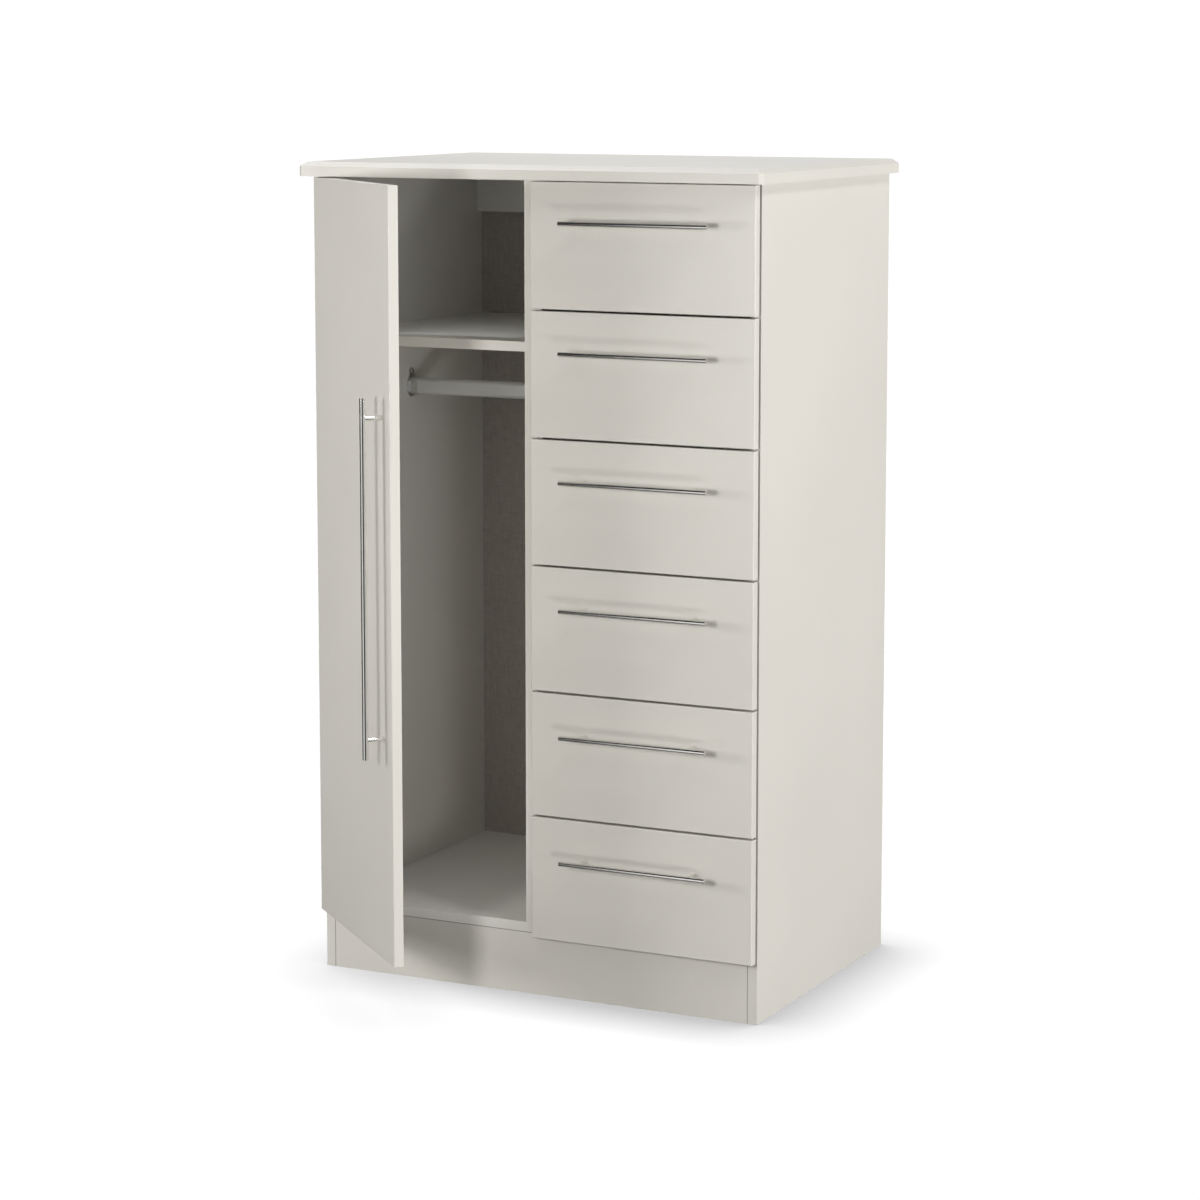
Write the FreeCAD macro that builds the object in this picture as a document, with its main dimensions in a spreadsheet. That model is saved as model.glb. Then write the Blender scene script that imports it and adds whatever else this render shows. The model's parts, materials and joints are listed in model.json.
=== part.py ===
import FreeCAD, Part
import math
import os
import re
import Sketcher

# A chifforobe: a hanging bay behind one door, beside a bay of six drawers on roller runners.
# Millimetres and degrees. +Z is up, the fronts face -Y, and the origin is the middle of the
# plinth's underside. The door stands ajar and the drawers are shut.

DRAWER_COUNT = 6
HINGE_COUNT = 3
DRAWER_NAMES = [f"drawer_{number}" for number in range(1, DRAWER_COUNT + 1)]  # from the top down

SIZES = {
    # Carcass boards
    "carcass_width": 742,
    "carcass_depth": 504,
    "carcass_height": 1248,
    "board": 15,
    "plinth_height": 97,
    "plinth_thickness": 15,
    # Top board with its bevelled upper edge
    "top_thickness": 22,
    "top_side_overhang": 16,
    "top_front_overhang": 36,
    "bevel_run": 12,
    "bevel_rise": 7,
    "corner_clip": 6,
    # Back panel, back rail and shelf
    "back_thickness": 3,
    "back_rebate": 8,
    "back_slack": 0.5,
    "back_rail_height": 75,
    "shelf_space_height": 243.5,
    "shelf_setback": 5,
    "shelf_back_gap": 14,
    # Oval hanging rail and its open-topped end brackets
    "rail_drop": 87.5,
    "rail_setback": 256,
    "rail_tall": 27,
    "rail_wide": 14,
    "rail_wall": 1.2,
    "rail_fit": 0.3,
    "bracket_plate": 2,
    "bracket_margin": 5,
    "socket_wall": 1.5,
    "socket_depth": 12,
    "socket_mouth": 8,
    "tab_wide": 14.5,
    "tab_tall": 36,
    "tab_top": 29,
    # Door and drawer fronts
    "front_thickness": 15,
    "front_back_gap": 3,
    "front_arris": 1.5,
    "side_reveal": 1.8,
    "centre_gap": 7,
    "front_top_gap": 2,
    "front_bottom": 94,
    "drawer_front_gap": 3,
    # Door hinges: cup in the door, arm on a plate on the side panel, one pin between them
    "door_angle": 42,
    "hinge_end_distance": 100,
    "pin_from_edge": 6.3,
    "pin_from_back": 5.5,
    "pin_radius": 1,
    "pin_length": 17.2,
    "pin_fit": 0.05,
    "cup_from_edge": 20.5,
    "cup_radius": 17.5,
    "cup_wall": 1,
    "cup_depth": 12,
    "cup_fit": 0.2,
    "flange_thickness": 1.2,
    "flange_rim": 1.2,
    "wing_tall": 60,
    "wing_wide": 14,
    "eye_radius": 1.8,
    "eye_length": 8,
    "arm_thickness": 2,
    "arm_width": 14,
    "arm_reach": 55,
    "arm_offset": 8.4,
    "plate_front": 20,
    "plate_length": 40,
    "plate_width": 14,
    "plate_wing_setback": 37,
    "plate_wing_width": 12,
    "plate_wing_tall": 44,
    # Bar handles on two posts
    "handle_standoff": 30,
    "post_inset": 30,
    "post_seat": 0.05,
    "drawer_handle_length": 240,
    "drawer_bar_radius": 4,
    "drawer_post_radius": 3.5,
    "drawer_handle_drop": 60.5,
    "door_handle_length": 536,
    "door_bar_radius": 4.5,
    "door_post_radius": 3.9,
    "door_handle_inset": 34.5,
    # Drawer boxes
    "box_side_gap": 12.5,
    "box_side": 12,
    "box_height": 130,
    "box_back_gap": 54,
    "box_rise": 28,
    "base_thickness": 3,
    "base_rise": 12,
    "base_slack": 0.5,
    "groove_depth": 6,
    "groove_slack": 0.4,
    # Roller runners, one pair of members on each side of a drawer
    "runner_metal": 1.2,
    "runner_setback": 2,
    "track_rise": 0.2,
    "track_web_gap": 0.8,
    "top_flange_reach": 8,
    "lip_wall_gap": 1.3,
    "lip_gap": 0.5,
    "roller_radius": 9,
    "roller_gap": 0.3,
    "roller_web_gap": 1.3,
    "axle_radius": 2.5,
    "axle_fit": 0.05,
    "axle_overrun": 0.6,
    "axle_end_gap": 1,
    "front_roller_setback": 15,
    "rear_roller_inset": 10,
}

# Places and sizes that follow from the driving sizes, as expressions in their names.
FRONT_PLANE = "(-plinth_thickness / 2)"
BACK_FACE = f"({FRONT_PLANE} + carcass_depth - back_thickness)"
INNER_DEPTH = "(carcass_depth - back_thickness)"
INNER_HALF_WIDTH = "(carcass_width / 2 - board)"
FLOOR_TOP = "(plinth_height + board)"
INNER_HEIGHT = f"(carcass_height - {FLOOR_TOP})"
BAY_WIDTH = "(carcass_width / 2 - 2 * board)"
BAY_CENTRE = f"(board + {BAY_WIDTH} / 2)"
SHELF_UNDERSIDE = "(carcass_height - shelf_space_height - board)"
RAIL_HEIGHT = f"({SHELF_UNDERSIDE} - rail_drop)"
RAIL_SETBACK = f"({FRONT_PLANE} + rail_setback)"

FRONT_TOP = "(carcass_height - front_top_gap)"
FRONT_WIDTH = "((carcass_width - 2 * side_reveal - centre_gap) / 2)"
FRONT_CENTRE = f"((centre_gap + {FRONT_WIDTH}) / 2)"
FRONT_REAR_FACE = f"({FRONT_PLANE} - front_back_gap)"
DOOR_HEIGHT = f"({FRONT_TOP} - front_bottom)"
DRAWER_FRONT_HEIGHT = (
    f"(({DOOR_HEIGHT} - {DRAWER_COUNT - 1} * drawer_front_gap) / {DRAWER_COUNT})"
)
DRAWER_PITCH = f"({DRAWER_FRONT_HEIGHT} + drawer_front_gap)"

# The door's own frame has the hinge pin's axis as its origin.
PIN_X = "(-carcass_width / 2 + side_reveal + pin_from_edge)"
PIN_Y = f"({FRONT_REAR_FACE} - pin_from_back)"
PIN_TO_WALL = "(board - side_reveal - pin_from_edge)"
PLATE_THICKNESS = f"(arm_offset - {PIN_TO_WALL})"
DOOR_OUTER_FACE = "(pin_from_back - front_thickness)"
DOOR_HANDLE_X = f"({FRONT_WIDTH} - pin_from_edge - door_handle_inset)"
DOOR_MIDDLE = f"(front_bottom + {DOOR_HEIGHT} / 2)"
CUP_X = "(cup_from_edge - pin_from_edge)"
LOWEST_HINGE = "(front_bottom + hinge_end_distance)"
HINGE_PITCH = f"(({DOOR_HEIGHT} - 2 * hinge_end_distance) / {HINGE_COUNT - 1})"

# A drawer's own frame has the underside of its box as its floor. A box and both members of
# its runners are as long as each other.
BOX_LENGTH = "(carcass_depth - box_back_gap)"
BOX_INNER_HALF = f"({BAY_WIDTH} / 2 - box_side_gap - box_side)"
BASE_HALF = f"({BOX_INNER_HALF} + groove_depth - base_slack)"
GROOVE_HEIGHT = "(base_thickness + groove_slack)"
ROLLER_RISE = "(track_rise + roller_gap + roller_radius)"
LIP_RISE = f"({ROLLER_RISE} + roller_radius + roller_gap)"
TOP_FLANGE_RISE = f"({LIP_RISE} + runner_metal + lip_gap)"
MEMBER_GAP = "(box_side_gap - 2 * runner_metal)"
ROLLER_WIDTH = f"({MEMBER_GAP} - roller_web_gap - axle_overrun - axle_end_gap)"
FRONT_ROLLER_Y = f"({FRONT_PLANE} + front_roller_setback)"
REAR_ROLLER_Y = f"({FRONT_REAR_FACE} + {BOX_LENGTH} - rear_roller_inset)"

UP = FreeCAD.Vector(0, 0, 1)
ALONG_X = FreeCAD.Rotation(FreeCAD.Vector(0, 1, 0), 90)
AGAINST_X = FreeCAD.Rotation(FreeCAD.Vector(0, 1, 0), -90)
AGAINST_Y = FreeCAD.Rotation(FreeCAD.Vector(1, 0, 0), 90)
TOUCHING = 0.001

document = FreeCAD.newDocument("chifforobe")
sheet = document.addObject("Spreadsheet::Sheet", "Sizes")
for row, (alias, length) in enumerate(SIZES.items(), start=1):
    sheet.set(f"A{row}", alias)
    sheet.set(f"B{row}", str(length))
    sheet.setAlias(f"B{row}", alias)
document.recompute()

nodes = []


def bound(expression):
    """Point each size's name in an expression at its cell."""
    return re.sub(r"[a-z]\w*", lambda word: f"Sizes.{word[0]}", expression)


def number(expression):
    return float(sheet.evalExpression(bound(expression)))


def bind(thing, name, expression):
    thing.setExpression(name, bound(expression))


def place(thing, x="0", y="0", z="0"):
    for axis, expression in zip("xyz", (x, y, z)):
        bind(thing, f"Placement.Base.{axis}", expression)


def hang_on_pin(thing):
    """Swing a piece of the door, drawn about the hinge pin's axis, to the door's place."""
    thing.Placement = FreeCAD.Placement(FreeCAD.Vector(), FreeCAD.Rotation(UP, -1))
    bind(thing, "Placement.Rotation.Angle", "-door_angle")
    place(thing, PIN_X, PIN_Y)


def keep(thing, name):
    """Make a thing one of the part's nodes."""
    thing.Label = name
    nodes.append(thing)
    return thing


def add_body(name, x="0", y="0", z="0"):
    body = document.addObject("PartDesign::Body", name)
    body.AllowCompound = True
    place(body, x, y, z)
    return body


def add_group(name, members):
    group = document.addObject("Part::Compound", name)
    group.Links = members
    return keep(group, name)


def add_mirrored(source):
    """Make the other hand of a drawer's fitting, across the middle of the drawer bay."""
    mirrored = document.addObject("Part::Mirroring", f"{source.Name}_mirrored")
    mirrored.Source = source
    mirrored.Normal = FreeCAD.Vector(1, 0, 0)
    bind(mirrored, "Base.x", BAY_CENTRE)
    return mirrored


def origin_feature(body, role):
    return next(feature for feature in body.Origin.OriginFeatures if feature.Role == role)


def add_sketch(body, plane, offset="0"):
    sketch = body.newObject("Sketcher::SketchObject", f"{body.Name}_sketch")
    sketch.AttachmentSupport = (origin_feature(body, plane), "")
    sketch.MapMode = "FlatFace"
    bind(sketch, "AttachmentOffset.Base.z", offset)
    return sketch


def pin_point(sketch, geometry, end, point):
    """Hold one point of a sketch at a place given by two expressions."""
    for kind, expression in zip(("DistanceX", "DistanceY"), point):
        held = Sketcher.Constraint(kind, -1, 1, geometry, end, number(expression))
        bind(sketch, f"Constraints[{sketch.addConstraint(held)}]", expression)


def draw_outline(sketch, points):
    """Draw a closed outline of straight lines through points given as expressions."""
    corners = [FreeCAD.Vector(number(across), number(along), 0) for across, along in points]
    first = sketch.GeometryCount
    for start, end in zip(corners, corners[1:] + corners[:1]):
        sketch.addGeometry(Part.LineSegment(start, end), False)
    for index, point in enumerate(points):
        following = first + (index + 1) % len(points)
        sketch.addConstraint(Sketcher.Constraint("Coincident", first + index, 2, following, 1))
        pin_point(sketch, first + index, 1, point)


def draw_rectangle(sketch, left, bottom, right, top):
    draw_outline(sketch, [(left, bottom), (right, bottom), (right, top), (left, top)])


def draw_slot(sketch, wide, tall, centre="0"):
    """Draw an upright slot with round ends, centred on the sketch's vertical axis."""
    radius = number(wide) / 2
    reach = (number(tall) - number(wide)) / 2
    middle = number(centre)
    above = FreeCAD.Vector(0, middle + reach, 0)
    below = FreeCAD.Vector(0, middle - reach, 0)
    aside = FreeCAD.Vector(radius, 0, 0)
    upper = sketch.addGeometry(
        Part.ArcOfCircle(Part.Circle(above, UP, radius), 0, math.pi), False
    )
    lower = sketch.addGeometry(
        Part.ArcOfCircle(Part.Circle(below, UP, radius), math.pi, 2 * math.pi), False
    )
    left = sketch.addGeometry(Part.LineSegment(above - aside, below - aside), False)
    right = sketch.addGeometry(Part.LineSegment(below + aside, above + aside), False)
    for one, other in ((upper, left), (left, lower), (lower, right), (right, upper)):
        sketch.addConstraint(Sketcher.Constraint("Tangent", one, 2, other, 1))
    sketch.addConstraint(Sketcher.Constraint("Equal", upper, lower))
    reach_text = f"(({tall}) - ({wide})) / 2"
    pin_point(sketch, upper, 3, ("0", f"{centre} + {reach_text}"))
    pin_point(sketch, lower, 3, ("0", f"{centre} - {reach_text}"))
    size = sketch.addConstraint(Sketcher.Constraint("Radius", upper, radius))
    bind(sketch, f"Constraints[{size}]", f"({wide}) / 2")


def draw_circle(sketch, across, along, radius):
    centre = FreeCAD.Vector(number(across), number(along), 0)
    circle = sketch.addGeometry(Part.Circle(centre, UP, number(radius)), False)
    pin_point(sketch, circle, 3, (across, along))
    size = sketch.addConstraint(Sketcher.Constraint("Radius", circle, number(radius)))
    bind(sketch, f"Constraints[{size}]", radius)


def add_pad(body, sketch, length, flip=False):
    pad = body.newObject("PartDesign::Pad", f"{body.Name}_pad")
    pad.Profile = sketch
    pad.Reversed = flip
    bind(pad, "Length", length)
    return pad


def add_pocket(body, sketch, depth, flip=False):
    pocket = body.newObject("PartDesign::Pocket", f"{body.Name}_pocket")
    pocket.Profile = sketch
    pocket.Reversed = flip
    bind(pocket, "Length", depth)
    return pocket


def add_turning(body, points):
    """Turn an outline drawn on the XZ plane about its horizontal axis."""
    sketch = add_sketch(body, "XZ_Plane")
    draw_outline(sketch, points)
    turning = body.newObject("PartDesign::Revolution", f"{body.Name}_turning")
    turning.Profile = sketch
    turning.ReferenceAxis = (sketch, ["H_Axis"])
    turning.Angle = 360
    return turning


def add_cylinder(body, kind, rotation, radius, height, x="0", y="0", z="0"):
    cylinder = body.newObject(f"PartDesign::{kind}", f"{body.Name}_round")
    cylinder.Placement = FreeCAD.Placement(FreeCAD.Vector(), rotation)
    place(cylinder, x, y, z)
    bind(cylinder, "Radius", radius)
    bind(cylinder, "Height", height)
    return cylinder


def drill(body, rotation, radius, depth, x="0", y="0", z="0"):
    return add_cylinder(body, "SubtractiveCylinder", rotation, radius, depth, x, y, z)


def repeat(body, axis, pitch, count, feature=None):
    """Repeat one of a body's features, or all of its shape, along one of its axes."""
    pattern = body.newObject("PartDesign::LinearPattern", f"{body.Name}_pattern")
    if feature:
        pattern.Originals = [feature]
    else:
        pattern.TransformMode = "Whole shape"
    pattern.Direction = (origin_feature(body, axis), [""])
    bind(pattern, "Length", f"({pitch}) * {count - 1}")
    pattern.Occurrences = count
    body.Tip = pattern
    return pattern


def add_board(name, width, depth, height, x, y, z):
    """Make a plain board from its corner of least x, y and z."""
    body = add_body(name, x, y, z)
    sketch = add_sketch(body, "XY_Plane")
    draw_rectangle(sketch, "0", "0", width, depth)
    add_pad(body, sketch, height)
    return body


def round_outer_edges(body, feature):
    """Round the edges of a front's outer face, which looks along -Y."""
    document.recompute()
    face_y = feature.Shape.BoundBox.YMin
    names = [
        f"Edge{index}"
        for index, edge in enumerate(feature.Shape.Edges, start=1)
        if edge.BoundBox.YMax - face_y < TOUCHING
    ]
    fillet = body.newObject("PartDesign::Fillet", f"{body.Name}_fillet")
    fillet.Base = (feature, names)
    bind(fillet, "Radius", "front_arris")
    return fillet


def make_side_panel(name, side):
    """Make a side panel, rebated at the back, with its outer face on its own YZ plane."""
    body = add_body(name, f"{side} * carcass_width / 2", FRONT_PLANE)
    inner = f"-{side} * board" if side > 0 else "board"
    rebate = f"{-side} * (board - back_rebate)"
    sketch = add_sketch(body, "XY_Plane")
    draw_outline(sketch, [
        ("0", "0"),
        (inner, "0"),
        (inner, INNER_DEPTH),
        (rebate, INNER_DEPTH),
        (rebate, "carcass_depth"),
        ("0", "carcass_depth"),
    ])
    add_pad(body, sketch, "carcass_height")
    keep(body, name)


def make_dividers():
    """Make the two boards that stand back to back between the bays."""
    for name, x in (("left_divider_panel", "-board"), ("right_divider_panel", "0")):
        keep(add_board(name, "board", INNER_DEPTH, INNER_HEIGHT, x, FRONT_PLANE, FLOOR_TOP), name)


def draw_top_outline(sketch, inset):
    """Draw the top board's outline, drawn in from the front and the sides, not the back."""
    half = f"(carcass_width / 2 + top_side_overhang - {inset})"
    front = f"(-top_front_overhang + {inset})"
    draw_outline(sketch, [
        (f"-{half}", front),
        (half, front),
        (half, "carcass_depth"),
        (f"-{half}", "carcass_depth"),
    ])


def make_top_board():
    """Make the top: square below, bevelled above at the front and sides, corners clipped."""
    body = add_body("top_board", "0", FRONT_PLANE, "carcass_height")
    lower = add_sketch(body, "XY_Plane")
    draw_top_outline(lower, "0")
    add_pad(body, lower, "top_thickness - bevel_rise")
    brim = add_sketch(body, "XY_Plane", "top_thickness - bevel_rise")
    draw_top_outline(brim, "0")
    crown = add_sketch(body, "XY_Plane", "top_thickness")
    draw_top_outline(crown, "bevel_run")
    loft = body.newObject("PartDesign::AdditiveLoft", "top_board_bevel")
    loft.Profile = brim
    loft.Sections = [crown]
    loft.Ruled = True
    for side in (-1, 1):
        corner = f"{side} * (carcass_width / 2 + top_side_overhang)"
        along = f"{side} * (carcass_width / 2 + top_side_overhang - corner_clip)"
        clip = add_sketch(body, "XY_Plane")
        draw_outline(clip, [
            (corner, "-top_front_overhang"),
            (corner, "-top_front_overhang + corner_clip"),
            (along, "-top_front_overhang"),
        ])
        add_pocket(body, clip, "top_thickness", flip=True)
    keep(body, "top_board")


def make_carcass():
    make_side_panel("left_side_panel", -1)
    make_side_panel("right_side_panel", 1)
    make_dividers()
    make_top_board()
    boards = {
        "floor_panel": (
            f"2 * {INNER_HALF_WIDTH}", INNER_DEPTH, "board",
            f"-{INNER_HALF_WIDTH}", FRONT_PLANE, "plinth_height",
        ),
        "plinth": (
            f"2 * {INNER_HALF_WIDTH}", "plinth_thickness", "plinth_height",
            f"-{INNER_HALF_WIDTH}", FRONT_PLANE, "0",
        ),
        "back_panel": (
            f"2 * ({INNER_HALF_WIDTH} + back_rebate - back_slack)", "back_thickness",
            "carcass_height - plinth_height",
            f"-({INNER_HALF_WIDTH} + back_rebate - back_slack)", BACK_FACE, "plinth_height",
        ),
        "top_back_rail": (
            BAY_WIDTH, "board", "back_rail_height",
            f"-{INNER_HALF_WIDTH}", f"{BACK_FACE} - board", "carcass_height - back_rail_height",
        ),
        "shelf": (
            BAY_WIDTH, f"{INNER_DEPTH} - shelf_setback - shelf_back_gap", "board",
            f"-{INNER_HALF_WIDTH}", f"{FRONT_PLANE} + shelf_setback", SHELF_UNDERSIDE,
        ),
    }
    for name, shape in boards.items():
        keep(add_board(name, *shape), name)


def make_hanging_rail():
    """Make the oval tube that spans the hanging bay between its brackets."""
    body = add_body("hanging_rail", f"-{INNER_HALF_WIDTH} + bracket_plate + rail_fit",
                    RAIL_SETBACK, RAIL_HEIGHT)
    sketch = add_sketch(body, "YZ_Plane")
    draw_slot(sketch, "rail_wide", "rail_tall")
    draw_slot(sketch, "rail_wide - 2 * rail_wall", "rail_tall - 2 * rail_wall")
    add_pad(body, sketch, f"{BAY_WIDTH} - 2 * (bracket_plate + rail_fit)")
    keep(body, "hanging_rail")


def make_bracket(name, x, inward):
    """Make one rail bracket: a plate and screw tab with a cradle that the rail drops into."""
    body = add_body(name, x, RAIL_SETBACK, RAIL_HEIGHT)
    flip = inward < 0
    bore = "2 * rail_fit"
    wall = "2 * (rail_fit + socket_wall)"
    plate = add_sketch(body, "YZ_Plane")
    draw_slot(plate, "rail_wide + 2 * bracket_margin", "rail_tall + 2 * bracket_margin")
    add_pad(body, plate, "bracket_plate", flip)
    tab = add_sketch(body, "YZ_Plane")
    draw_slot(tab, "tab_wide", "tab_tall", "tab_top - tab_tall / 2")
    add_pad(body, tab, "bracket_plate", flip)
    cradle = add_sketch(body, "YZ_Plane", f"{inward} * bracket_plate")
    draw_slot(cradle, f"rail_wide + {wall}", f"rail_tall + {wall}")
    draw_slot(cradle, f"rail_wide + {bore}", f"rail_tall + {bore}")
    add_pad(body, cradle, "socket_depth", flip)
    mouth = add_sketch(body, "YZ_Plane", f"{inward} * bracket_plate")
    draw_rectangle(mouth, "-rail_wide", "socket_mouth", "rail_wide", "rail_tall")
    add_pocket(body, mouth, "socket_depth", flip=not flip)
    return body


def make_rail_brackets():
    left = make_bracket("left_rail_bracket", f"-{INNER_HALF_WIDTH}", 1)
    right = make_bracket("right_rail_bracket", "-board", -1)
    add_group("rail_brackets", [left, right])


def add_axle(body, rotation, start):
    """Add a stub axle from a member's web, through a roller and a little past it."""
    add_cylinder(body, "AdditiveCylinder", rotation, "axle_radius",
                 f"roller_web_gap + {ROLLER_WIDTH} + axle_overrun", start)


def make_cabinet_runner():
    """Make the right-hand cabinet members: channels with a stub axle for a front roller.

    Each is drawn about its front roller's axis, with the bay's wall on its own YZ plane.
    """
    body = add_body("cabinet_runner", f"{BAY_CENTRE} + {BAY_WIDTH} / 2", FRONT_ROLLER_Y,
                    f"front_bottom + box_rise + {ROLLER_RISE}")
    track = f"-{ROLLER_RISE} + track_rise"
    top_flange = f"{TOP_FLANGE_RISE} - {ROLLER_RISE}"
    track_edge = "-(box_side_gap - runner_metal - track_web_gap)"
    channel = add_sketch(body, "XZ_Plane", "front_roller_setback - runner_setback")
    draw_outline(channel, [
        ("0", f"{track} - runner_metal"),
        ("0", f"{top_flange} + runner_metal"),
        ("-top_flange_reach", f"{top_flange} + runner_metal"),
        ("-top_flange_reach", top_flange),
        ("-runner_metal", top_flange),
        ("-runner_metal", track),
        (track_edge, track),
        (track_edge, f"{track} - runner_metal"),
    ])
    add_pad(body, channel, BOX_LENGTH, flip=True)
    add_axle(body, AGAINST_X, "-runner_metal")
    repeat(body, "Z_Axis", DRAWER_PITCH, DRAWER_COUNT)
    add_group("cabinet_runners", [body, add_mirrored(body)])


def make_hinge_arms():
    """Make the cranked arms with their eyes, and the cross-shaped plates that carry them.

    The arms are drawn about the pin's axis, and run out of the cup and back along the plate.
    """
    arm = add_body("hinge_arm", PIN_X, PIN_Y, LOWEST_HINGE)
    wall_x = "(arm_offset + arm_thickness)"
    eye = add_sketch(arm, "XY_Plane", "-eye_length / 2")
    draw_circle(eye, "0", "0", "eye_radius")
    add_pad(arm, eye, "eye_length")
    short_leg = add_sketch(arm, "XY_Plane", "-eye_length / 2")
    draw_rectangle(short_leg, "0", "-arm_thickness / 2", wall_x, "arm_thickness / 2")
    add_pad(arm, short_leg, "eye_length")
    long_leg = add_sketch(arm, "XY_Plane", "-arm_width / 2")
    draw_rectangle(long_leg, "arm_offset", "-arm_thickness / 2", wall_x,
                   f"arm_reach - {PIN_Y} + {FRONT_PLANE}")
    add_pad(arm, long_leg, "arm_width")
    drill(arm, FreeCAD.Rotation(), "pin_radius + pin_fit", "eye_length", z="-eye_length / 2")
    repeat(arm, "Z_Axis", HINGE_PITCH, HINGE_COUNT)
    plate = add_body("hinge_plate", f"-{INNER_HALF_WIDTH}", FRONT_PLANE, LOWEST_HINGE)
    bar = add_sketch(plate, "YZ_Plane")
    draw_rectangle(bar, "plate_front", "-plate_width / 2", "plate_front + plate_length",
                   "plate_width / 2")
    add_pad(plate, bar, PLATE_THICKNESS)
    wings = add_sketch(plate, "YZ_Plane")
    draw_rectangle(wings, "plate_wing_setback - plate_wing_width / 2", "-plate_wing_tall / 2",
                   "plate_wing_setback + plate_wing_width / 2", "plate_wing_tall / 2")
    add_pad(plate, wings, PLATE_THICKNESS)
    repeat(plate, "Z_Axis", HINGE_PITCH, HINGE_COUNT)
    add_group("hinge_arms", [arm, plate])


def make_hinge_cups():
    """Make the cups with their flanges and pins, drawn about the pin's axis."""
    cup = add_body("hinge_cup", z=LOWEST_HINGE)
    flange = add_sketch(cup, "XZ_Plane", "-pin_from_back")
    draw_circle(flange, CUP_X, "0", "cup_radius + flange_rim")
    add_pad(cup, flange, "flange_thickness", flip=True)
    wings = add_sketch(cup, "XZ_Plane", "-pin_from_back")
    draw_rectangle(wings, f"{CUP_X} - wing_wide / 2", "-wing_tall / 2",
                   f"{CUP_X} + wing_wide / 2", "wing_tall / 2")
    add_pad(cup, wings, "flange_thickness", flip=True)
    add_cylinder(cup, "AdditiveCylinder", AGAINST_Y, "cup_radius", "cup_depth",
                 CUP_X, "pin_from_back")
    drill(cup, AGAINST_Y, "cup_radius - cup_wall", "cup_depth - cup_wall + flange_thickness",
          CUP_X, "pin_from_back + flange_thickness")
    drill(cup, FreeCAD.Rotation(), "pin_radius + pin_fit", "pin_length + 2 * pin_fit",
          z="-pin_length / 2 - pin_fit")
    repeat(cup, "Z_Axis", HINGE_PITCH, HINGE_COUNT)
    pin = add_body("hinge_pin", z=LOWEST_HINGE)
    add_cylinder(pin, "AdditiveCylinder", FreeCAD.Rotation(), "pin_radius", "pin_length",
                 z="-pin_length / 2")
    repeat(pin, "Z_Axis", HINGE_PITCH, HINGE_COUNT)
    hang_on_pin(add_group("hinge_cups", [cup, pin]))


def make_door():
    """Make the door board, drawn about the pin's axis and bored for its cups."""
    body = add_body("door")
    face = add_sketch(body, "XZ_Plane", "-pin_from_back")
    draw_rectangle(face, "-pin_from_edge", "front_bottom", f"{FRONT_WIDTH} - pin_from_edge",
                   FRONT_TOP)
    round_outer_edges(body, add_pad(body, face, "front_thickness"))
    boring = drill(body, AGAINST_Y, "cup_radius + cup_fit", "cup_depth + cup_fit", CUP_X,
                   "pin_from_back", LOWEST_HINGE)
    repeat(body, "Z_Axis", HINGE_PITCH, HINGE_COUNT, boring)
    hang_on_pin(keep(body, "door"))


def make_handle(name, kind, axis, x, y, z):
    """Make a bar on two coped posts, on a face that looks along -Y."""
    half = f"({kind}_handle_length / 2)"
    radius = f"{kind}_bar_radius"
    bore_half = f"(2 * {kind}_post_radius)"
    rotation = ALONG_X if axis == "x" else FreeCAD.Rotation()
    bar = add_body(f"{name}_bar", x, f"{y} - handle_standoff", z)
    add_cylinder(bar, "AdditiveCylinder", rotation, radius, f"2 * {half}",
                 **{axis: f"-{half}"})
    members = [bar]
    for end in (-1, 1):
        centre = {"x": x, "y": y, "z": z}
        centre[axis] += f" + {end} * ({half} - post_inset)"
        post = add_body(f"{name}_{'lower' if end < 0 else 'upper'}_post", **centre)
        add_cylinder(post, "AdditiveCylinder", AGAINST_Y, f"{kind}_post_radius",
                     "handle_standoff")
        drill(post, rotation, f"{radius} + post_seat", f"2 * {bore_half}",
              **{"y": "-handle_standoff", axis: f"-{bore_half}"})
        members.append(post)
    return add_group(name, members)


def make_drawer_front(name, z):
    """Make a drawer front about the middle of its rear face's lower edge."""
    body = add_body(f"{name}_front", FRONT_CENTRE, FRONT_REAR_FACE, z)
    face = add_sketch(body, "XZ_Plane")
    draw_rectangle(face, f"-{FRONT_WIDTH} / 2", "0", f"{FRONT_WIDTH} / 2", DRAWER_FRONT_HEIGHT)
    round_outer_edges(body, add_pad(body, face, "front_thickness"))
    groove = add_sketch(body, "XZ_Plane")
    middle = f"({BAY_CENTRE} - {FRONT_CENTRE})"
    draw_rectangle(groove, f"{middle} - {BASE_HALF} - base_slack", "box_rise + base_rise",
                   f"{middle} + {BASE_HALF} + base_slack",
                   f"box_rise + base_rise + {GROOVE_HEIGHT}")
    add_pocket(body, groove, "groove_depth", flip=True)
    keep(body, f"{name}_front")


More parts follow.
